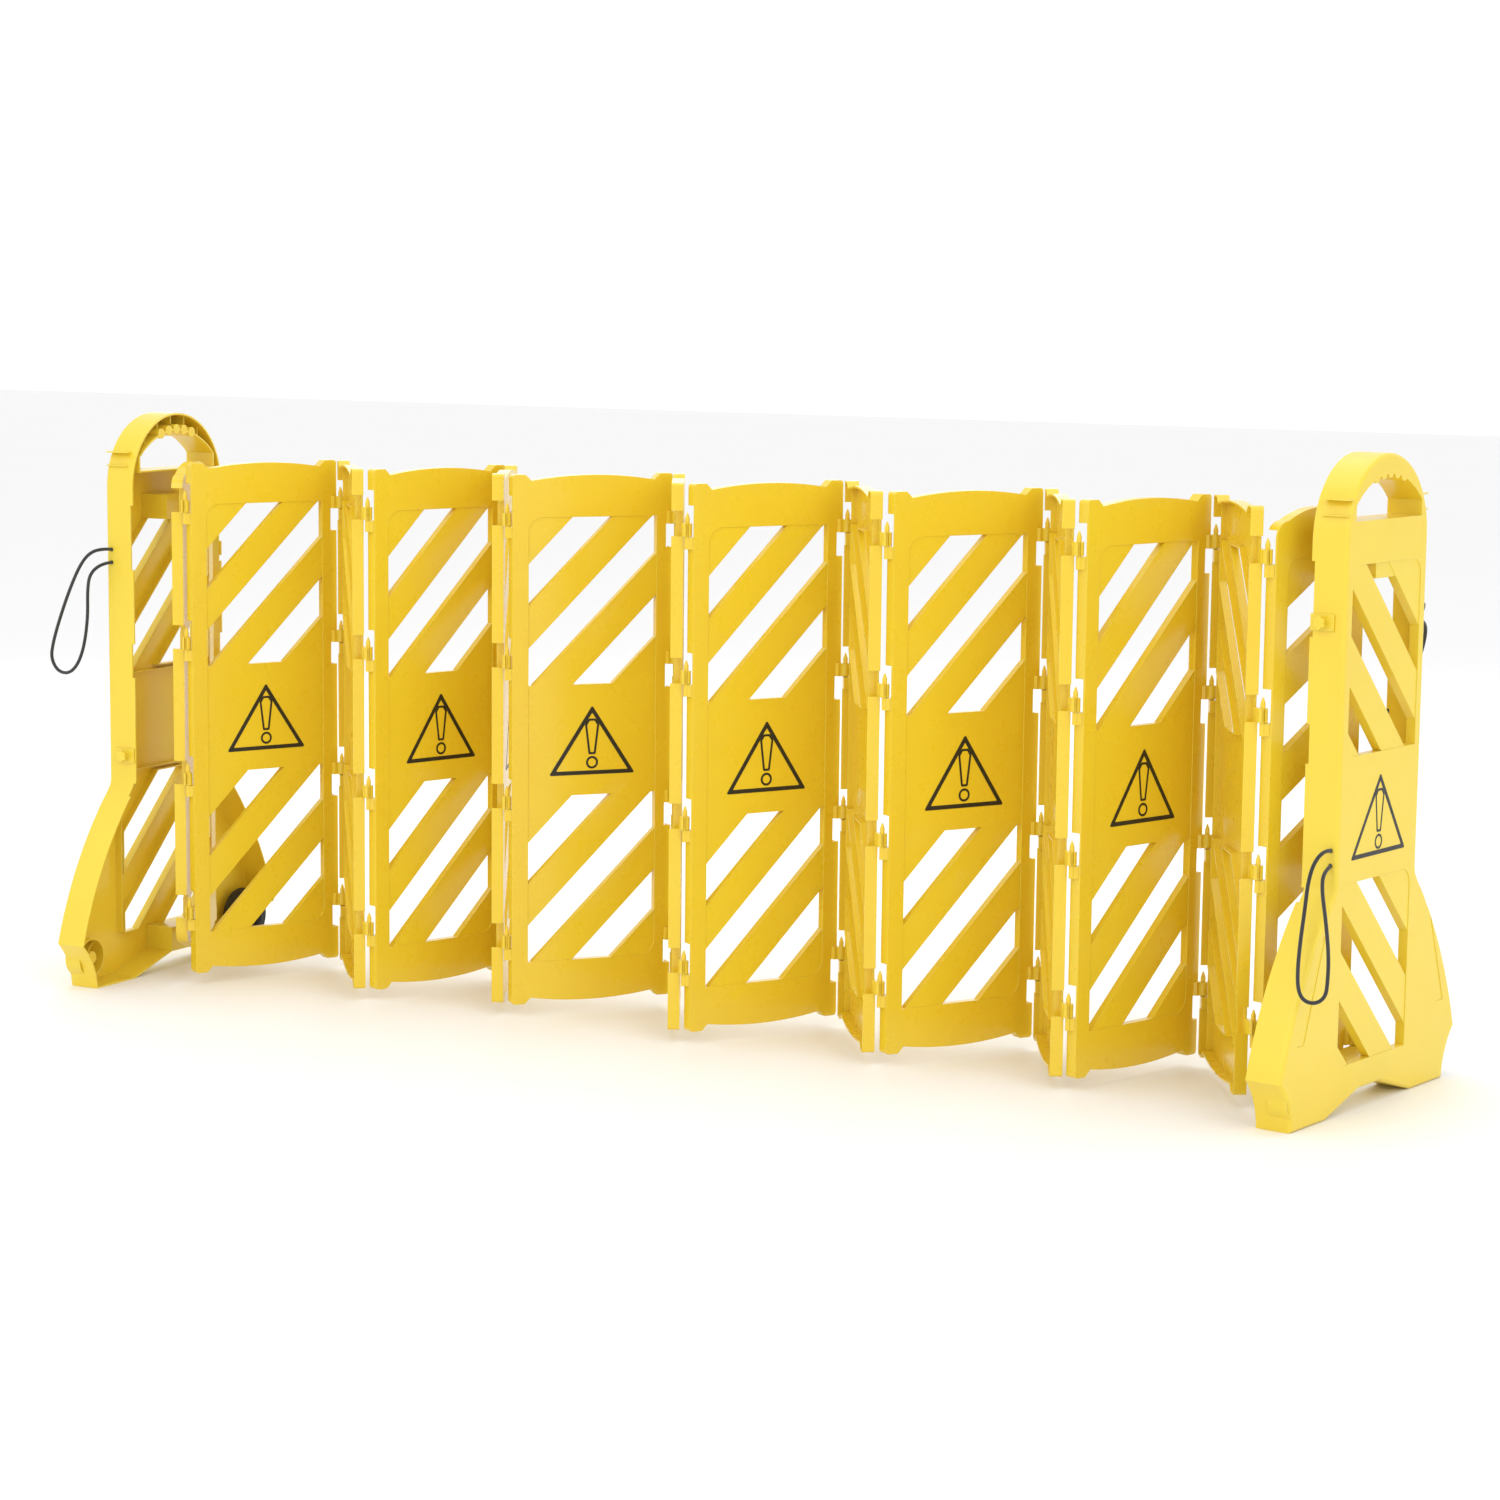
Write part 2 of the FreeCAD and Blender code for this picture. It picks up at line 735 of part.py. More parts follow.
def add_handle_ribs(body, count):
    """Upright ribs across the open channel of the handle."""
    half = size("stand_half")
    arch = arch_radius(size("hand_half"), size("hand_top") - size("hand_side"))
    ribs = front_sketch(body, "HandleRibOutlines", size("stand_wall") / 2)
    for step in range(count):
        across = half * ((step - (count - 1) / 2) * 1.5 / count)
        low = size("hand_top") - across * across / (arch * 2)
        high = size("stand_height") - half + root(half * half - across * across)
        thick = size("collar") / 2
        closed_outline(ribs, box_outline(across - thick, across + thick, low + 1, high - 2))
    pad(body, "HandleRibs", ribs, size("stand_depth") - size("stand_wall") - 12, backwards=True)
    arms = front_sketch(body, "ArmRibOutlines", size("stand_wall") / 2)
    outer, inner = half - size("stand_wall") / 2, size("hand_half") + size("stand_wall") / 2
    for level in (size("hand_bottom") + 8, size("hand_side") + 8):
        closed_outline(arms, box_outline(inner, outer, level, level + size("collar")))
        closed_outline(arms, box_outline(-outer, -inner, level, level + size("collar")))
    pad(body, "ArmRibs", arms, size("stand_depth") - size("stand_wall") - 12, backwards=True)


def add_finger_grips(body, count):
    """Rounded ridges between the fingers along the top of the hand hole."""
    arch = arch_radius(size("hand_half"), size("hand_top") - size("hand_side"))
    ridges = front_sketch(body, "FingerGripOutlines")
    for step in range(count):
        across = size("grip_pitch") * (step - (count - 1) / 2)
        drop = across * across / (arch * 2)
        circle(ridges, across, size("hand_top") - drop + size("grip_radius") / 3, size("grip_radius"))
    pad(body, "FingerGrips", ridges, size("stand_depth"), backwards=True)


def add_foot_ring(body, side):
    """Round rib with spokes inside the foot that has no wheel."""
    centre, level = size("wheel_across") * side, size("foot_ring_height")
    outer = size("foot_ring")
    inner = outer - size("collar")
    ring = front_sketch(body, "FootRingOutline", size("stand_wall") / 2)
    circle(ring, centre, level, outer)
    circle(ring, centre, level, inner)
    pad(body, "FootRing", ring, size("stand_flange_depth") * 2, backwards=True)
    for step in range(3):
        spokes = front_sketch(body, "SpokeOutline", size("stand_wall") / 2)
        turn = math.radians(60 * step + 15)
        along_x, along_y = math.cos(turn), math.sin(turn)
        thick = size("collar") / 2
        reach = outer - thick
        corners = [
            (centre + reach * along_x - thick * along_y, level + reach * along_y + thick * along_x),
            (centre - reach * along_x - thick * along_y, level - reach * along_y + thick * along_x),
            (centre - reach * along_x + thick * along_y, level - reach * along_y - thick * along_x),
            (centre + reach * along_x + thick * along_y, level + reach * along_y - thick * along_x),
        ]
        closed_outline(spokes, corners)
        pad(body, "Spoke", spokes, size("stand_flange_depth"), backwards=True)
    hub = front_sketch(body, "FootHubOutline", size("stand_wall") / 2)
    circle(hub, centre, level, outer / 3)
    pad(body, "FootHub", hub, size("stand_flange_depth") * 2, backwards=True)


def add_wheel_seat(body, side):
    """Opening in the rim of the rear foot, and the boss that holds the axle."""
    centre, level = size("wheel_across") * side, size("wheel_height")
    well = front_sketch(body, "WheelWellOutline", size("wheel_inset") - size("well_gap"))
    circle(well, centre, level, size("wheel_radius") + size("well_gap"))
    pocket(body, "WheelWell", well, size("stand_depth"))
    seat = front_sketch(body, "AxleBossOutline", size("stand_wall") / 2)
    circle(seat, centre, level, size("axle_boss_radius"))
    reach = size("wheel_inset") - size("side_play") * 2 - size("stand_wall") / 2
    pad(body, "AxleBoss", seat, reach, backwards=True)
    bore = front_sketch(body, "AxleBoreOutline", size("stand_wall"))
    circle(bore, centre, level, size("axle_radius"))
    pocket(body, "AxleBore", bore, size("stand_depth"))


def add_cord_holes(body):
    """Two holes for each elastic loop: upper on the +X flange, lower on the -X flange."""
    radius = size("cord_diameter") / 2 + size("cord_hole_clearance")
    for side, level in ((1, size("upper_fixing")), (-1, size("lower_fixing"))):
        start = size("stand_half") * side
        sketch = sketch_on(body, "CordHoleOutlines", "YZ_Plane", lift=start + 1 * side)
        for shift in (-0.5, 0.5):
            circle(sketch, size("cord_inset"), level + size("cord_spread") * shift, radius)
        pocket(body, "CordHoles", sketch, size("stand_wall") + 3, backwards=side < 0)


def make_stand(name, side):
    """End stand, its pivot pins and its wheel on the side (+1 or -1) that is at the rear."""
    body = new_body(name)
    depth, wall = size("stand_depth"), size("stand_wall")
    edge = front_sketch(body, "EdgeOutline")
    closed_outline(edge, stand_outline(0.0))
    slab = pad(body, "Slab", edge, depth, backwards=True)
    doc.recompute()
    front = [f"Edge{number}" for number, line in enumerate(slab.Shape.Edges, start=1)
             if line.BoundBox.YMax < 0.001]
    rounding = body.newObject("PartDesign::Fillet", "FrontRounding")
    rounding.Base = (slab, front)
    rounding.setExpression("Radius", "Sizes.stand_round")
    doc.recompute()
    inside = front_sketch(body, "HollowOutline", wall)
    closed_outline(inside, stand_outline(wall))
    pocket(body, "Hollow", inside, depth)
    add_handle_ribs(body, 5)
    rim = front_sketch(body, "HandRimOutline", wall / 2)
    closed_outline(rim, hand_hole(wall))
    pad(body, "HandRim", rim, depth - wall / 2, backwards=True)
    hole = front_sketch(body, "HandHoleOutline")
    closed_outline(hole, hand_hole(0.0))
    pocket(body, "HandHole", hole, depth)
    add_finger_grips(body, 5)
    half = size("stand_field_half")
    outer, rib = half + size("stiffener_gap"), size("collar")
    add_ribs(body, [
        (-outer - rib, -outer, size("lower_bottom"), size("upper_top")),
        (outer, outer + rib, size("lower_bottom"), size("upper_top")),
    ], size("stand_flange_depth"))
    add_ribs(body, [
        (-outer - 1, outer + 1, size("lower_top") + size("stiffener_gap"),
         size("lower_top") + size("stiffener_gap") + rib),
        (-outer - 1, outer + 1, size("upper_bottom") - size("stiffener_gap") - rib,
         size("upper_bottom") - size("stiffener_gap")),
    ], size("stand_flange_depth") - 2)
    upper = (-half, half, size("upper_bottom"), size("upper_top"))
    lower = (-half, half, size("lower_bottom"), size("lower_top"))
    pitch, shift = size("stand_slot_pitch"), size("stand_slot_shift")
    add_slots(body, (upper, lower), -1.0, (shift - pitch, shift, shift + pitch),
              size("stand_slot_height"), size("stand_flange_depth"), depth)
    fields = front_sketch(body, "FieldOutlines")
    for window in (upper, lower):
        closed_outline(fields, rounded_box(*window, size("field_radius")))
    pocket(body, "FieldRecess", fields, size("recess"))
    add_leg_channels(body)
    add_rim_notches(body)
    add_boss(body, side, size("boss_lower"))
    add_boss(body, side, size("boss_upper"))
    add_foot_ring(body, -side)
    add_wheel_seat(body, side)
    add_cord_holes(body)
    doc.recompute()
    return body


def add_leg_channels(body):
    """Shallow slanted grooves down the front of both legs."""
    half = size("channel_half")
    for side in (-1, 1):
        low, high = size("channel_low_across") * side, size("channel_high_across") * side
        grooves = front_sketch(body, "LegChannelOutline")
        closed_outline(grooves, [
            (low - half, size("channel_low")), (low + half, size("channel_low")),
            (high + half, size("channel_high")), (high - half, size("channel_high")),
        ])
        pocket(body, "LegChannel", grooves, size("recess"))


def add_rim_notches(body):
    """Shallow reliefs in the rims of both straight sides."""
    reliefs = front_sketch(body, "RimNotchOutlines", size("stand_depth") - size("rim_notch_depth"))
    pairs = (("rim_notch_low", "rim_notch_short"), ("rim_notch_middle", "rim_notch_medium"),
             ("rim_notch_high", "rim_notch_tall"))
    inner, outer = size("stand_half") - size("stand_wall") - 1, size("flare_half")
    for level, tall in pairs:
        low, high = size(level), size(level) + size(tall)
        closed_outline(reliefs, box_outline(inner, outer, low, high))
        closed_outline(reliefs, box_outline(-outer, -inner, low, high))
    pocket(body, "RimNotches", reliefs, size("rim_notch_depth") + 1)


# ---- wheels, hooks and cords ----------------------------------------------------------

def turned(name, profile):
    """Body turned about its own Y axis from (radius, y) corners."""
    body = new_body(name)
    sketch = sketch_on(body, "Profile", "XY_Plane")
    closed_outline(sketch, profile)
    turning = body.newObject("PartDesign::Revolution", "Turning")
    turning.Profile = sketch
    turning.ReferenceAxis = (sketch, ["V_Axis"])
    turning.Angle = 360
    doc.recompute()
    return body


def make_tyre(name):
    half, outer, soft = size("wheel_width") / 2, size("wheel_radius"), size("tread_round")
    inner = size("hub_radius")
    return turned(name, [
        (inner, -half), (outer - soft, -half, soft), (outer, soft - half),
        (outer, half - soft, soft), (outer - soft, half), (inner, half),
    ])


def make_hub(name):
    bore = size("axle_radius") + size("axle_clearance")
    boss, rim = size("hub_boss_radius"), size("hub_radius") - size("hub_rim")
    web, edge = size("hub_web") / 2, size("wheel_width") / 2 - 2
    end = size("wheel_width") / 2 + size("side_play")
    outer = size("hub_radius")
    return turned(name, [
        (bore, -end), (boss, -end), (boss, -web), (rim, -web), (rim, -edge), (outer, -edge),
        (outer, edge), (rim, edge), (rim, web), (boss, web), (boss, end), (bore, end),
    ])


def make_axle(name):
    axle = doc.addObject("Part::Cylinder", name)
    axle.Label = name
    axle.setExpression("Radius", "Sizes.axle_radius")
    length = (size("wheel_inset") + size("wheel_width") + size("side_play") * 2
              + size("push_nut_height") + 2 - size("stand_wall"))
    axle.setExpression("Height", formula(length))
    doc.recompute()
    return axle


def make_push_nut(name):
    bore, outer, tall = size("axle_radius"), size("push_nut_radius"), size("push_nut_height")
    return turned(name, [
        (bore, Size(0.0, "0")), (outer, Size(0.0, "0")), (outer, tall / 2), (outer - 2, tall),
        (bore, tall),
    ])


def make_hook(name):
    """Knob on a square plate, standing out along its own X axis."""
    body = new_body(name)
    wide, tall = size("hook_width") / 2, size("hook_height") / 2
    plate, reach, head = size("hook_plate"), size("hook_reach"), size("hook_head")
    base = sketch_on(body, "PlateOutline", "YZ_Plane")
    closed_outline(base, box_outline(-wide, wide, -tall, tall))
    pad(body, "Plate", base, plate)
    neck = sketch_on(body, "NeckOutline", "YZ_Plane")
    circle(neck, Size(0.0, "0"), Size(0.0, "0"), size("hook_neck"))
    pad(body, "Neck", neck, reach)
    knob = sketch_on(body, "KnobOutline", "YZ_Plane", lift=reach - plate)
    closed_outline(knob, [(head * (0.75 + 0.25 * (step % 2)) * math.cos(math.pi * step / 6),
                           head * (0.75 + 0.25 * (step % 2)) * math.sin(math.pi * step / 6))
                          for step in range(12)])
    pad(body, "Knob", knob, plate + 1)
    doc.recompute()
    return body


def make_stop(name):
    """Clamp that joins both ends of a loop behind the flange."""
    stop = doc.addObject("Part::Box", name)
    stop.Label = name
    margin = size("stop_margin") * 2
    stop.setExpression("Length", "Sizes.stop_length")
    stop.setExpression("Width", formula(size("cord_diameter") + margin))
    stop.setExpression("Height", formula(size("cord_diameter") + size("cord_spread") + margin))
    doc.recompute()
    return stop


# Routes of the loops in the frame of their stand, from the stop out and back.
LOOP_LEFT = (
    (126.8, 12, 775), (150, 11, 778), (168, -6, 772), (170, -28, 748), (167, -56, 700),
    (162, -84, 644), (158.5, -101, 604), (156, -109, 575), (153, -96, 551), (151, -72, 548),
    (150, -52, 566), (149, -38, 600), (150, -28, 652), (160, -20, 703), (172, -4, 735),
    (152, 9, 752), (126.8, 12, 752),
)
LOOP_RIGHT_LOWER = (
    (-126.8, 12, 416.5), (-148, 12, 420), (-165, 20, 404), (-172, 26, 374), (-184, 24, 328),
    (-212, 14, 290), (-236, 4, 252), (-253, -6.5, 224), (-253.5, -16.5, 208),
    (-249, -34.5, 204.5), (-244, -48.5, 216), (-238.5, -48.5, 238), (-224, -41, 276),
    (-196, -19, 322), (-173, 2, 364), (-156, 9, 388), (-126.8, 12, 393.5),
)
LOOP_RIGHT_UPPER = (
    (126.8, 12, 775), (148, 12, 778), (165, 22, 764), (173, 38, 740), (172, 58, 696),
    (169, 72, 644), (167, 79, 598), (165, 77, 569), (163, 65, 554), (162, 46, 552),
    (161, 31, 564), (160, 26, 585), (160, 28, 624), (161, 27, 676), (165, 16, 720),
    (154, 12, 748), (126.8, 12, 752),
)


def make_cord(name, route):
    """Tube along straight runs joined by tangent arcs."""
    points = [FreeCAD.Vector(*place) for place in route]
    edges = []
    radii = []
    start = points[0]
    for before, corner, after in zip(points, points[1:], points[2:]):
        incoming, outgoing = corner - before, after - corner
        turn = incoming.getAngle(outgoing)
        setback = 0.45 * min(incoming.Length, outgoing.Length)
        radii.append(setback / math.tan(turn / 2))
        into = corner - incoming.normalize() * setback
        out = corner + outgoing.normalize() * setback
        centre_way = (outgoing - incoming).normalize()
        reach = radii[-1] / math.cos(turn / 2) - radii[-1]
        edges.append(Part.LineSegment(start, into).toShape())
        edges.append(Part.Arc(into, corner + centre_way * reach, out).toShape())
        start = out
    edges.append(Part.LineSegment(start, points[-1]).toShape())
    spine = Part.Wire(edges)
    radius = SIZES["cord_diameter"] / 2
    heading = points[1] - points[0]
    section = Part.Wire([Part.makeCircle(radius, points[0], heading)])
    tube = spine.makePipeShell([section], True, True, 2)
    cord = doc.addObject("Part::Feature", name)
    cord.Label = name
    cord.Shape = tube
    whole = math.pi * radius * radius * spine.Length
    print(f"{name}: length {spine.Length:.0f}, smallest bend {min(radii):.1f}, "
          f"volume ratio {tube.Volume / whole:.3f}")
    print("  bend radii", " ".join(f"{value:.0f}" for value in radii))
    return cord


# ---- assembly -------------------------------------------------------------------------

def repeated(name, master):
    """Another piece from the same mould."""
    body = doc.addObject("PartDesign::Body", name)
    body.Label = name
    body.BaseFeature = master
    doc.recompute()
    return body


def heading_turn(degrees):
    return FreeCAD.Rotation(FreeCAD.Vector(0, 0, 1), degrees)


class Row:
    """Places pieces one after another along the row, hinge axis to hinge axis."""

    def __init__(self):
        self.joint = FreeCAD.Vector(0, 0, 0)
        self.joints = []
        self.places = {}

    def add(self, piece, heading, entry, leave, lift):
        turn = heading_turn(heading)
        if entry is None:
            base = FreeCAD.Vector(0, 0, 0)
        else:
            base = self.joint - turn.multVec(entry)
            self.joints.append(FreeCAD.Vector(self.joint.x, self.joint.y, 0))
        piece.Placement = FreeCAD.Placement(FreeCAD.Vector(base.x, base.y, lift), turn)
        self.places[piece.Label] = piece.Placement
        if leave is not None:
            self.joint = base + turn.multVec(leave)


def on_stand(piece, stand_place, across, inward, up, turn=None):
    spot = FreeCAD.Placement(FreeCAD.Vector(across, inward, up), turn or FreeCAD.Rotation())
    piece.Placement = stand_place.multiply(spot)


def flat(across, inward):
    return FreeCAD.Vector(across, inward, 0)


def build():
    gap, proud = SIZES["hinge_gap"] / 2, SIZES["hinge_proud"]
    depth, inset = SIZES["panel_depth"], SIZES["pin_inset"]
    width, link = SIZES["panel_width"], SIZES["link_width"]
    lift = SIZES["panel_lift"]
    pivot = flat(SIZES["pivot_across"], SIZES["stand_depth"] + SIZES["pivot_proud"])
    rear = flat(-SIZES["pivot_across"], pivot.y)
    parts = []
    row = Row()

    stand_left = make_stand("stand_left", -1)
    row.add(stand_left, HEADINGS["stand_left"], None, rear, 0)
    link_left = make_link("link_panel_left", "clips", -1)
    row.add(link_left, HEADINGS["link_left"] + 180, flat(link + gap, depth + proud),
            flat(-gap, -proud), lift)
    parts += [stand_left, link_left]

    masters = {1: make_panel("panel_01", 1), -1: make_panel("panel_02", -1)}
    for number, heading in enumerate(HEADINGS["panels"], start=1):
        name = f"panel_{number:02d}"
        forward = 1 if number % 2 else -1
        master = masters[forward]
        piece = master if number < 3 else repeated(name, master)
        if forward > 0:
            row.add(piece, heading, flat(-gap, depth - inset), flat(width + gap, -proud), lift)
        else:
            row.add(piece, heading + 180, flat(width + gap, depth - inset), flat(-gap, -proud), lift)
        parts.append(piece)

    link_right = make_link("link_panel_right", "pins", -1)
    row.add(link_right, HEADINGS["link_right"], flat(-gap, depth - inset),
            flat(link + gap, -proud), lift)
    stand_right = make_stand("stand_right", 1)
    row.add(stand_right, HEADINGS["stand_right"], pivot, None, 0)
    parts += [link_right, stand_right]

    upright = FreeCAD.Rotation(FreeCAD.Vector(1, 0, 0), -90)
    about = FreeCAD.Rotation(FreeCAD.Vector(0, 0, 1), 180)
    for end, side in (("left", -1), ("right", 1)):
        place = row.places[f"stand_{end}"]
        across, up = SIZES["wheel_across"] * side, SIZES["wheel_height"]
        middle = SIZES["wheel_inset"] + SIZES["wheel_width"] / 2
        outer_end = SIZES["wheel_inset"] + SIZES["wheel_width"] + SIZES["side_play"] * 1.5
        for piece in (make_tyre(f"tyre_{end}"), make_hub(f"hub_{end}")):
            on_stand(piece, place, across, middle, up)
            parts.append(piece)
        axle = make_axle(f"axle_{end}")
        on_stand(axle, place, across, SIZES["stand_wall"], up, upright)
        nut = make_push_nut(f"push_nut_{end}")
        on_stand(nut, place, across, outer_end, up)
        parts += [axle, nut]
        for level, flank in (("upper", -1), ("lower", 1)):
            hook = make_hook(f"latch_hook_{end}_{level}")
            on_stand(hook, place, SIZES["stand_half"] * flank, SIZES["hook_inset"],
                     SIZES[f"{level}_fixing"], about if flank < 0 else None)
            parts.append(hook)

    cords = []
    for name, end, level, flank, route in (
            ("left_upper", "left", "upper", 1, LOOP_LEFT),
            ("right_lower", "right", "lower", -1, LOOP_RIGHT_LOWER),
            ("right_upper", "right", "upper", 1, LOOP_RIGHT_UPPER)):
        place = row.places[f"stand_{end}"]
        stop = make_stop(f"loop_stop_{name}")
        face = (SIZES["stand_half"] - SIZES["stand_wall"]) * flank
        corner = face - SIZES["stop_length"] if flank > 0 else face
        half_deep = SIZES["cord_diameter"] / 2 + SIZES["stop_margin"]
        half_tall = half_deep + SIZES["cord_spread"] / 2
        on_stand(stop, place, corner, SIZES["cord_inset"] - half_deep,
                 SIZES[f"{level}_fixing"] - half_tall)
        cord = make_cord(f"elastic_loop_{name}", route)
        cord.Placement = place
        parts.append(stop)
        cords.append(cord)

    doc.recompute()
    box = FreeCAD.BoundBox()
    for piece in parts:
        for spot in piece.Shape.tessellate(0.1)[0]:
            box.add(spot)
    shift = FreeCAD.Vector(-box.Center.x, -box.Center.y, -box.ZMin)
    for piece in parts + cords:
        place = piece.Placement
        piece.Placement = FreeCAD.Placement(place.Base + shift, place.Rotation)
    doc.recompute()
    print("overall", round(box.XLength, 1), round(box.YLength, 1), round(box.ZLength, 1))
    for number, joint in enumerate(row.joints, start=1):
        spot = joint + shift
        print(f"hinge {number}: {spot.x:.3f} {spot.y:.3f}")
    return parts + cords


def main():
    pieces = build()
    for item in doc.Objects:
        if "Invalid" in item.State or "Error" in item.State:
            raise RuntimeError(f"{item.Label}: {item.State}")
    os.makedirs("parts", exist_ok=True)
    for piece in pieces:
        shape = piece.Shape
        if shape.isNull() or not shape.isValid():
            raise RuntimeError(f"{piece.Label} has no valid shape")
        shape.exportStep(f"parts/{piece.Label}.step")
        print(f"{piece.Label}: {shape.Volume / 1000:.1f} cm3, {len(shape.Solids)} solid")


main()
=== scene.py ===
import json
import math
import bpy
import bmesh
from mathutils import Matrix, Vector


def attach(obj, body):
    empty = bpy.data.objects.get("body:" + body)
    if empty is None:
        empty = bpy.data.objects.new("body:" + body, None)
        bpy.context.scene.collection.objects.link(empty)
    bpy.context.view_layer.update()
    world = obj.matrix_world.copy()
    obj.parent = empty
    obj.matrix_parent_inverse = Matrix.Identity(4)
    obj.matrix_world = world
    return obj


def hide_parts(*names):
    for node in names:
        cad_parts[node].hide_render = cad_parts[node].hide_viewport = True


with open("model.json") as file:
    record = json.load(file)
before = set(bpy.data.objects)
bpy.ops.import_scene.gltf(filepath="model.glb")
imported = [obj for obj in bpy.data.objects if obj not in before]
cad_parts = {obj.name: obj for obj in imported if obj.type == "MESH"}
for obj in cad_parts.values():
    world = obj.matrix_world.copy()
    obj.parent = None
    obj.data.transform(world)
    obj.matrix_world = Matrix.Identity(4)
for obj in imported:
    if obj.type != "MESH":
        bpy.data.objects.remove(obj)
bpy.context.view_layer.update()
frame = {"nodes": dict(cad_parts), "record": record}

mm = 0.001
joints = {j["name"]: j for j in frame["record"]["behaviour"]["joints"]}
print("frame in,", len(frame["nodes"]), "nodes")


# camera, from the front left at a little above head height of the row
cameraSet = {"spot": (2.7622, -5.1538, 1.2718), "heading": 27.8, "down": 7.712, "roll": 0.623,
             "lens": 83.93, "sensor": 36}


def makeCamera():
    data = bpy.data.cameras.new("camera")
    data.lens = cameraSet["lens"]
    data.sensor_width = cameraSet["sensor"]
    cam = bpy.data.objects.new("camera", data)
    bpy.context.scene.collection.objects.link(cam)
    turn = Matrix.Rotation(math.radians(cameraSet["heading"]), 4, "Z")
    tilt = Matrix.Rotation(math.radians(90 - cameraSet["down"]), 4, "X")
    roll = Matrix.Rotation(math.radians(cameraSet["roll"]), 4, "Z")
    cam.matrix_world = Matrix.Translation(cameraSet["spot"]) @ turn @ tilt @ roll
    bpy.context.scene.camera = cam


makeCamera()


# where a stand or a panel sits, worked out from its hinge lines
standSize = {"across": 60, "inward": 62}  # pivot axis in the stand's own frame, mm
panelSize = {"wide": 290, "deep": 20, "lift": 21, "gap": 5, "proud": 6.5, "inset": 6}


def spotOf(name):
    x, y, _ = joints[name]["pos_m"]
    return Vector((x, y, 0))


def flatTurn(angle):
    return Matrix.Rotation(angle, 4, "Z")


def headingFrom(first, second, start, end):
    # turn that takes the own-frame line first-second to the line between two real points
    own = (second - first)
    real = (end - start)
    return math.atan2(real.y, real.x) - math.atan2(own.y, own.x)


def panelPlace(number):
    # own frame: x across, y from the front skin to the open back, z up from the feet
    start = spotOf("fold_%02d" % number)
    end = spotOf("fold_%02d" % (number + 1))
    pin = panelSize["deep"] - panelSize["inset"]
    near, far = -panelSize["gap"] * mm, (panelSize["wide"] + panelSize["gap"]) * mm
    if number % 2:
        first, second = Vector((near, pin * mm, 0)), Vector((far, -panelSize["proud"] * mm, 0))
    else:
        first, second = Vector((far, pin * mm, 0)), Vector((near, -panelSize["proud"] * mm, 0))
    turn = flatTurn(headingFrom(first, second, start, end))
    return Matrix.Translation(start - turn @ first + Vector((0, 0, panelSize["lift"] * mm))) @ turn


def standPlace(end):
    side = -1 if end == "left" else 1
    pivot = Vector((standSize["across"] * side, standSize["inward"], 0)) * mm
    axis = Vector(joints["wheel_%s_spin" % end]["axis"])
    turn = flatTurn(math.atan2(axis.y, axis.x) - math.pi / 2)
    return Matrix.Translation(spotOf("stand_%s_pivot" % end) - turn @ pivot) @ turn


stands = {end: standPlace(end) for end in ("left", "right")}


# elastic loops: the same route points as the model's tubes, in each stand's own frame
loopSet = {"diameter": 6, "bevelSteps": 5}
loopRoutes = {
    "left_upper": (
        (126.8, 12, 775), (150, 11, 778), (168, -6, 772), (170, -28, 748), (167, -56, 700),
        (162, -84, 644), (158.5, -101, 604), (156, -109, 575), (153, -96, 551), (151, -72, 548),
        (150, -52, 566), (149, -38, 600), (150, -28, 652), (160, -20, 703), (172, -4, 735),
        (152, 9, 752), (126.8, 12, 752)),
    "right_lower": (
        (-126.8, 12, 416.5), (-148, 12, 420), (-165, 20, 404), (-172, 26, 374), (-184, 24, 328),
        (-212, 14, 290), (-236, 4, 252), (-253, -6.5, 224), (-253.5, -16.5, 208),
        (-249, -34.5, 204.5), (-244, -48.5, 216), (-238.5, -48.5, 238), (-224, -41, 276),
        (-196, -19, 322), (-173, 2, 364), (-156, 9, 388), (-126.8, 12, 393.5)),
    "right_upper": (
        (126.8, 12, 775), (148, 12, 778), (165, 22, 764), (173, 38, 740), (172, 58, 696),
        (169, 72, 644), (167, 79, 598), (165, 77, 569), (163, 65, 554), (162, 46, 552),
        (161, 31, 564), (160, 26, 585), (160, 28, 624), (161, 27, 676), (165, 16, 720),
        (154, 12, 748), (126.8, 12, 752)),
}


def makeLoop(name):
    end = name.split("_")[0]
    data = bpy.data.curves.new("loop_" + name, "CURVE")
    data.dimensions = "3D"
    data.bevel_depth = 1.0  # each point's radius carries the real size, so the box fits too
    data.bevel_resolution = loopSet["bevelSteps"]
    data.use_fill_caps = True
    spline = data.splines.new("NURBS")
    route = [stands[end] @ (Vector(spot) * mm) for spot in loopRoutes[name]]
    spline.points.add(len(route) - 1)
    for point, spot in zip(spline.points, route):
        point.co = (*spot, 1)
        point.radius = loopSet["diameter"] / 2 * mm
    spline.order_u = 3
    spline.use_endpoint_u = True
    spline.resolution_u = 10
    loop = bpy.data.objects.new("loop_" + name, data)
    bpy.context.scene.collection.objects.link(loop)
    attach(loop, "stand_" + end)
    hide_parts("elastic_loop_" + name)
    return loop


loops = [makeLoop(name) for name in loopRoutes]
print("camera and loops set")


# materials

def newMaterial(name):
    mat = bpy.data.materials.new(name)
    mat.use_nodes = True
    shader = mat.node_tree.nodes["Principled BSDF"]
    return mat, mat.node_tree, shader


def addNode(tree, kind, **values):
    node = tree.nodes.new(kind)
    for key, value in values.items():
        if key in node.inputs:
            node.inputs[key].default_value = value
        else:
            setattr(node, key, value)
    return node


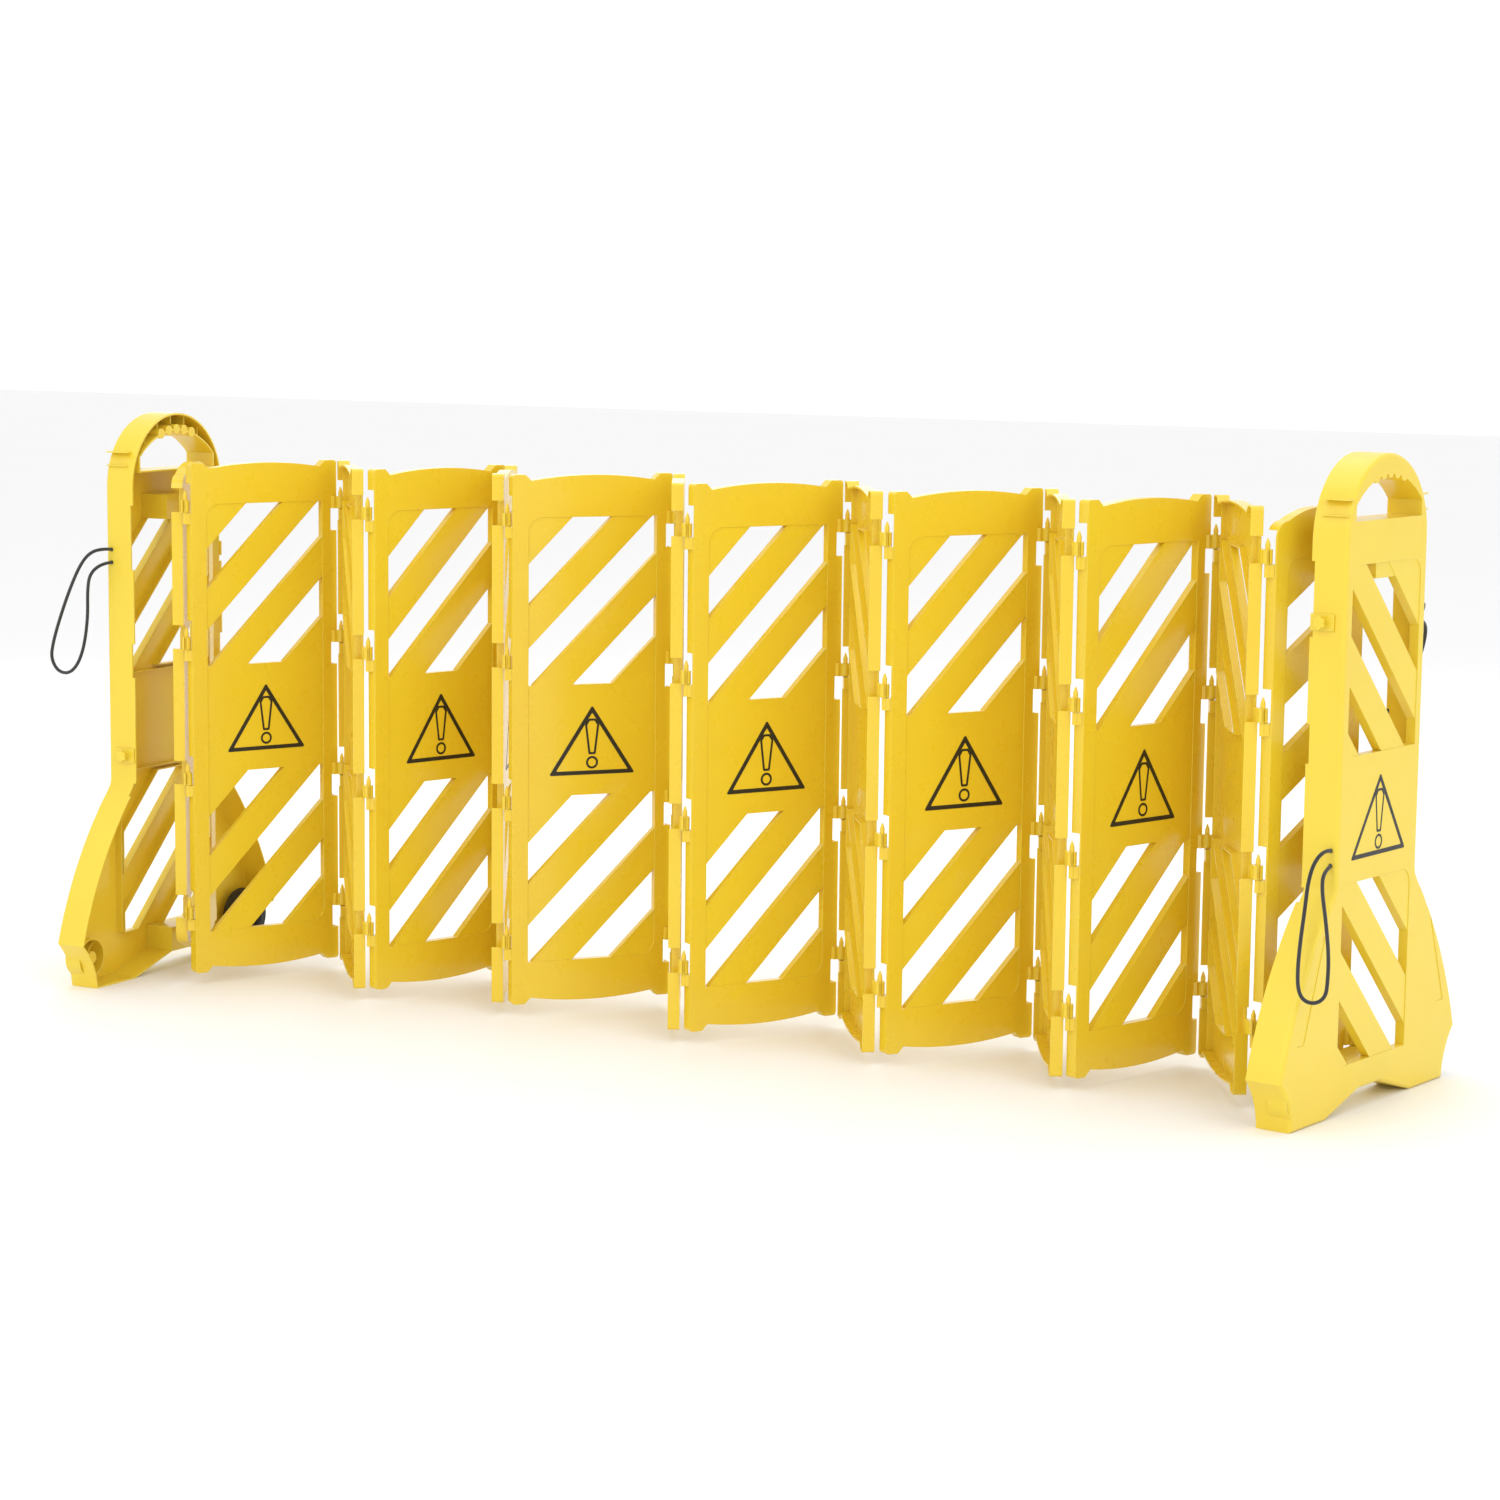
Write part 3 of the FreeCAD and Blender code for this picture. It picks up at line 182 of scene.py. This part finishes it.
def noiseAt(tree, coords, scale, detail=4.0, rough=0.5):
    noise = tree.nodes.new("ShaderNodeTexNoise")
    noise.inputs["Scale"].default_value = scale
    noise.inputs["Detail"].default_value = detail
    noise.inputs["Roughness"].default_value = rough
    tree.links.new(coords, noise.inputs["Vector"])
    return noise.outputs["Fac"]


def ramp(tree, factor, low, high, start=0.3, stop=0.7):
    node = tree.nodes.new("ShaderNodeMapRange")
    node.inputs["From Min"].default_value = start
    node.inputs["From Max"].default_value = stop
    node.inputs["To Min"].default_value = low
    node.inputs["To Max"].default_value = high
    tree.links.new(factor, node.inputs["Value"])
    return node.outputs["Result"]


def mixColour(tree, factor, first, second):
    node = tree.nodes.new("ShaderNodeMix")
    node.data_type = "RGBA"
    tree.links.new(factor, node.inputs[0])
    for value, socket in ((first, node.inputs[6]), (second, node.inputs[7])):  # colour sockets
        if isinstance(value, tuple):
            socket.default_value = (*value, 1)
        else:
            tree.links.new(value, socket)
    return node.outputs[2]


# the third colour of each plastic is a painted highlight, laid lighter along the rounded edges
mouldedPlastic = {
    "panel_yellow_plastic": {
        "base": (0.80, 0.575, 0.026), "deep": (0.785, 0.545, 0.022), "painted_edge_highlight": (0.93, 0.74, 0.10),
        "rough": (0.24, 0.36), "grain": 900, "bump": 0.04, "glow": 0.16},
    "safety_yellow_plastic": {
        "base": (0.83, 0.62, 0.042), "deep": (0.815, 0.59, 0.036), "painted_edge_highlight": (0.94, 0.77, 0.14),
        "rough": (0.30, 0.42), "grain": 700, "bump": 0.07, "glow": 0.14},
}


def makePlastic(name):
    look = mouldedPlastic[name]
    mat, tree, shader = newMaterial(name + "_look")
    coords = tree.nodes.new("ShaderNodeTexCoord").outputs["Object"]
    cloud = noiseAt(tree, coords, 5.0, 3.0)  # slow colour drift of the moulding
    tone = mixColour(tree, ramp(tree, cloud, 0.0, 1.0), look["base"], look["deep"])
    # painted edge highlight: where the bevel normal turns away from the face normal, the colour is
    # lightened
    bevel = addNode(tree, "ShaderNodeBevel", samples=4)
    bevel.inputs["Radius"].default_value = 0.0012
    flat = tree.nodes.new("ShaderNodeNewGeometry").outputs["Normal"]
    dot = addNode(tree, "ShaderNodeVectorMath", operation="DOT_PRODUCT")
    tree.links.new(bevel.outputs["Normal"], dot.inputs[0])
    tree.links.new(flat, dot.inputs[1])
    painted_highlight_mask = ramp(tree, dot.outputs["Value"], 0.55, 0.0, 0.80, 0.995)  # painted highlight, lighter along edges
    shade = mixColour(tree, painted_highlight_mask, tone, look["painted_edge_highlight"])
    tree.links.new(shade, shader.inputs["Base Color"])
    smear = noiseAt(tree, coords, 22.0, 5.0, 0.6)
    tree.links.new(ramp(tree, smear, *look["rough"]), shader.inputs["Roughness"])
    grain = noiseAt(tree, coords, look["grain"], 2.0)
    wave = noiseAt(tree, coords, 9.0, 2.0)  # gentle sink marks
    soft = addNode(tree, "ShaderNodeBump", Strength=0.08, Distance=0.003)
    tree.links.new(wave, soft.inputs["Height"])
    tree.links.new(bevel.outputs["Normal"], soft.inputs["Normal"])
    fine = addNode(tree, "ShaderNodeBump", Strength=look["bump"], Distance=0.0004)
    tree.links.new(grain, fine.inputs["Height"])
    tree.links.new(soft.outputs["Normal"], fine.inputs["Normal"])
    tree.links.new(fine.outputs["Normal"], shader.inputs["Normal"])
    shader.inputs["Subsurface Weight"].default_value = look["glow"]
    shader.inputs["Subsurface Radius"].default_value = (1.0, 0.55, 0.12)
    shader.inputs["Subsurface Scale"].default_value = 0.012
    shader.inputs["Coat Weight"].default_value = 0.25
    shader.inputs["Coat Roughness"].default_value = 0.12
    return mat


def makeDark(name, tone, dusty, rough, scale):
    mat, tree, shader = newMaterial(name + "_look")
    coords = tree.nodes.new("ShaderNodeTexCoord").outputs["Object"]
    dust = ramp(tree, noiseAt(tree, coords, scale, 6.0, 0.65), 0.0, 1.0, 0.45, 0.75)
    tree.links.new(mixColour(tree, dust, tone, dusty), shader.inputs["Base Color"])
    tree.links.new(ramp(tree, noiseAt(tree, coords, scale * 3), *rough), shader.inputs["Roughness"])
    fine = addNode(tree, "ShaderNodeBump", Strength=0.25, Distance=0.0004)
    tree.links.new(noiseAt(tree, coords, 1400.0, 3.0), fine.inputs["Height"])
    tree.links.new(fine.outputs["Normal"], shader.inputs["Normal"])
    return mat


def makeSteel():
    mat, tree, shader = newMaterial("steel_axle_look")
    coords = tree.nodes.new("ShaderNodeTexCoord").outputs["Object"]
    shader.inputs["Metallic"].default_value = 1.0
    streak = noiseAt(tree, coords, 120.0, 5.0)
    tone = mixColour(tree, streak, (0.66, 0.66, 0.64), (0.50, 0.51, 0.52))
    tree.links.new(tone, shader.inputs["Base Color"])
    tree.links.new(ramp(tree, noiseAt(tree, coords, 400.0), 0.22, 0.4), shader.inputs["Roughness"])
    return mat


def makeBraid():
    # woven sheath of the elastic cord: two sets of crossing bands
    mat, tree, shader = newMaterial("black_cord_look")
    coords = tree.nodes.new("ShaderNodeTexCoord").outputs["Object"]
    heights = []
    for direction in ((1.0, 1.0, 1.0), (-1.0, 1.0, 1.0)):
        turn = addNode(tree, "ShaderNodeMapping")
        turn.inputs["Rotation"].default_value = (0.6 * direction[0], 0.4, 0.7 * direction[0])
        tree.links.new(coords, turn.inputs["Vector"])
        wave = addNode(tree, "ShaderNodeTexWave", Scale=260.0, Distortion=0.5)
        tree.links.new(turn.outputs["Vector"], wave.inputs["Vector"])
        heights.append(wave.outputs["Fac"])
    both = addNode(tree, "ShaderNodeMath", operation="MAXIMUM")
    tree.links.new(heights[0], both.inputs[0])
    tree.links.new(heights[1], both.inputs[1])
    tone = mixColour(tree, both.outputs["Value"], (0.006, 0.006, 0.007), (0.03, 0.03, 0.032))
    tree.links.new(tone, shader.inputs["Base Color"])
    weave = addNode(tree, "ShaderNodeBump", Strength=0.6, Distance=0.0004)
    tree.links.new(both.outputs["Value"], weave.inputs["Height"])
    tree.links.new(weave.outputs["Normal"], shader.inputs["Normal"])
    shader.inputs["Roughness"].default_value = 0.75
    shader.inputs["Sheen Weight"].default_value = 0.3
    return mat


def makeInk():
    mat, tree, shader = newMaterial("print_ink_look")
    coords = tree.nodes.new("ShaderNodeTexCoord").outputs["Object"]
    thin = ramp(tree, noiseAt(tree, coords, 160.0, 6.0, 0.7), 0.0, 0.6, 0.55, 0.8)
    tone = mixColour(tree, thin, (0.012, 0.011, 0.010), (0.06, 0.05, 0.03))
    tree.links.new(tone, shader.inputs["Base Color"])
    tree.links.new(ramp(tree, noiseAt(tree, coords, 60.0), 0.35, 0.5), shader.inputs["Roughness"])
    return mat


looks = {name: makePlastic(name) for name in mouldedPlastic}
looks["black_tyre"] = makeDark(
    "black_tyre", (0.012, 0.012, 0.012), (0.05, 0.048, 0.045), (0.5, 0.75), 60.0)
looks["black_hub_plastic"] = makeDark(
    "black_hub", (0.015, 0.015, 0.016), (0.04, 0.04, 0.04), (0.35, 0.5), 40.0)
looks["steel_axle"] = makeSteel()
looks["black_cord"] = makeBraid()
ink = makeInk()
print("materials made")


def dressNodes():
    for part in frame["record"]["subparts"]:
        node = frame["nodes"][part["node"]]
        look = looks[part["material_slot"]]
        if node.data.materials:
            for index in range(len(node.data.materials)):
                node.data.materials[index] = look
        else:
            node.data.materials.append(look)


dressNodes()
for loop in loops:
    loop.data.materials.append(looks["black_cord"])
print("nodes dressed")


# printed caution sign: a triangle line with an open exclamation mark in it
printSet = {"thick": 0.25, "line": 7.0, "markLine": 3.8, "round": 3.0, "markGap": 3,
            "shoulder": 10, "dropRound": 3.2, "innerRound": 1.2}
panelPrint = {"half": 78.5, "low": 396, "high": 516, "markLow": 417, "markHigh": 493, "ring": 11,
              "topHalf": 13, "bottomHalf": 6.5, "face": 1.2}
standPrint = {"half": 88, "low": 397, "high": 524, "markLow": 417, "markHigh": 500, "ring": 12,
              "topHalf": 14.5, "bottomHalf": 7, "face": 0.0}


def inset(corners, distance):
    # corners of a convex outline, moved inwards by a distance
    moved = []
    count = len(corners)
    for i in range(count):
        before, here, after = corners[i - 1], corners[i], corners[(i + 1) % count]
        one = (here - before).normalized()
        two = (after - here).normalized()
        side = Vector((-one.y, one.x)) + Vector((-two.y, two.x))
        side.normalize()
        share = side.dot(Vector((-one.y, one.x)))
        moved.append(here + side * (distance / max(share, 0.2)))
    return moved


def band(mesh, outer, inner, front):
    # flat ring between two outlines, with a thin edge down to the face behind it
    count = len(outer)
    back = front + printSet["thick"]
    rings = []
    for line, depth in ((outer, back), (outer, front), (inner, front), (inner, back)):
        rings.append([mesh.verts.new((p.x * mm, depth * mm, p.y * mm)) for p in line])
    for lower, upper in zip(rings, rings[1:]):
        for i in range(count):
            j = (i + 1) % count
            mesh.faces.new((lower[i], lower[j], upper[j], upper[i]))


def softCorners(corners, radius, steps=5):
    # outline with each corner rounded by a small arc
    line = []
    count = len(corners)
    for i in range(count):
        before, here, after = corners[i - 1], corners[i], corners[(i + 1) % count]
        one = (before - here).normalized()
        two = (after - here).normalized()
        half = one.angle(two) / 2
        reach = radius / math.tan(half)
        start, stop = here + one * reach, here + two * reach
        for step in range(steps + 1):
            share = step / steps
            rest = 1 - share
            line.append(start * rest ** 2 + here * 2 * share * rest + stop * share ** 2)
    return line


def roundLine(centre, radius, steps=28):
    turns = [2 * math.pi * i / steps for i in range(steps)]
    return [centre + Vector((math.cos(turn), math.sin(turn))) * radius for turn in turns]


def makeSign(name, size, place, middle, body):
    mesh = bmesh.new()
    front = size["face"] - printSet["thick"]
    triangle = [Vector((-size["half"], size["low"])), Vector((size["half"], size["low"])),
                Vector((0, size["high"]))]
    outer = softCorners(triangle, printSet["round"])
    inner = softCorners(inset(triangle, printSet["line"]), printSet["round"] * 0.4)
    band(mesh, outer, inner, front)
    ringMiddle = Vector((0, size["markLow"]))
    hole = size["ring"] - printSet["markLine"]
    band(mesh, roundLine(ringMiddle, size["ring"]), roundLine(ringMiddle, hole), front)
    bottom = size["markLow"] + size["ring"] + printSet["markGap"]
    shoulder = size["markHigh"] - printSet["shoulder"]
    rightSide = [(size["bottomHalf"], bottom), (size["topHalf"], shoulder),
                 (size["topHalf"] * 0.5, size["markHigh"])]
    leftSide = [(-x, y) for x, y in reversed(rightSide)]
    drop = [Vector(spot) for spot in leftSide[-1:] + rightSide + leftSide[:-1]]
    innerDrop = inset(drop, printSet["markLine"])
    band(mesh, softCorners(drop, printSet["dropRound"]),
         softCorners(innerDrop, printSet["innerRound"]), front)
    bmesh.ops.recalc_face_normals(mesh, faces=mesh.faces)
    data = bpy.data.meshes.new(name)
    mesh.to_mesh(data)
    mesh.free()
    data.transform(place @ Matrix.Translation((middle * mm, 0, 0)))
    data.materials.append(ink)
    sign = bpy.data.objects.new(name, data)
    bpy.context.scene.collection.objects.link(sign)
    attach(sign, body)
    return sign


for number in range(1, 13):
    name = "panel_%02d" % number
    makeSign("sign_" + name, panelPrint, panelPlace(number), panelSize["wide"] / 2, name)
for end in stands:
    makeSign("sign_stand_" + end, standPrint, stands[end], 0, "stand_" + end)
print("signs printed")


# room: pale floor and soft lights
roomSet = {"floor": (0.92, 0.92, 0.92), "darker": 0.985, "size": 24.0, "rough": 0.6, "world": 1.02}


def makeFloor():
    size = roomSet["size"]
    data = bpy.data.meshes.new("floor")
    corners = [(-size, -size, 0), (size, -size, 0), (size, size, 0), (-size, size, 0)]
    data.from_pydata(corners, [], [(0, 1, 2, 3)])
    floor = bpy.data.objects.new("floor", data)
    bpy.context.scene.collection.objects.link(floor)
    mat, tree, shader = newMaterial("floor_look")
    coords = tree.nodes.new("ShaderNodeTexCoord").outputs["Object"]
    darker = tuple(value * roomSet["darker"] for value in roomSet["floor"])
    tone = mixColour(tree, noiseAt(tree, coords, 0.8, 3.0), roomSet["floor"], darker)
    tree.links.new(tone, shader.inputs["Base Color"])
    shader.inputs["Roughness"].default_value = roomSet["rough"]
    data.materials.append(mat)


lightSet = {
    "key": {"spot": (-1.2, -5.0, 4.2), "size": 3.2, "power": 60},
    "fill": {"spot": (4.8, -2.8, 3.0), "size": 3.0, "power": 40},
    "top": {"spot": (0.3, 0.6, 4.6), "size": 4.5, "power": 50},
    "back": {"spot": (-2.5, 4.0, 2.6), "size": 3.0, "power": 25},
}


def makeLights():
    for name, look in lightSet.items():
        data = bpy.data.lights.new(name, "AREA")
        data.shape = "SQUARE"
        data.size = look["size"]
        data.energy = look["power"]
        lamp = bpy.data.objects.new(name, data)
        bpy.context.scene.collection.objects.link(lamp)
        spot = Vector(look["spot"])
        lamp.location = spot
        lamp.rotation_euler = (Vector((0, 0, 0.5)) - spot).to_track_quat("-Z", "Y").to_euler()
    world = bpy.data.worlds.new("world")
    bpy.context.scene.world = world
    world.use_nodes = True
    sky = world.node_tree.nodes["Background"]
    sky.inputs["Color"].default_value = (1.0, 1.0, 1.0, 1)
    sky.inputs["Strength"].default_value = roomSet["world"]
    bpy.context.scene.view_settings.view_transform = "Standard"  # plain studio white


makeFloor()
makeLights()
print("room and lights set")

bpy.context.view_layer.update()
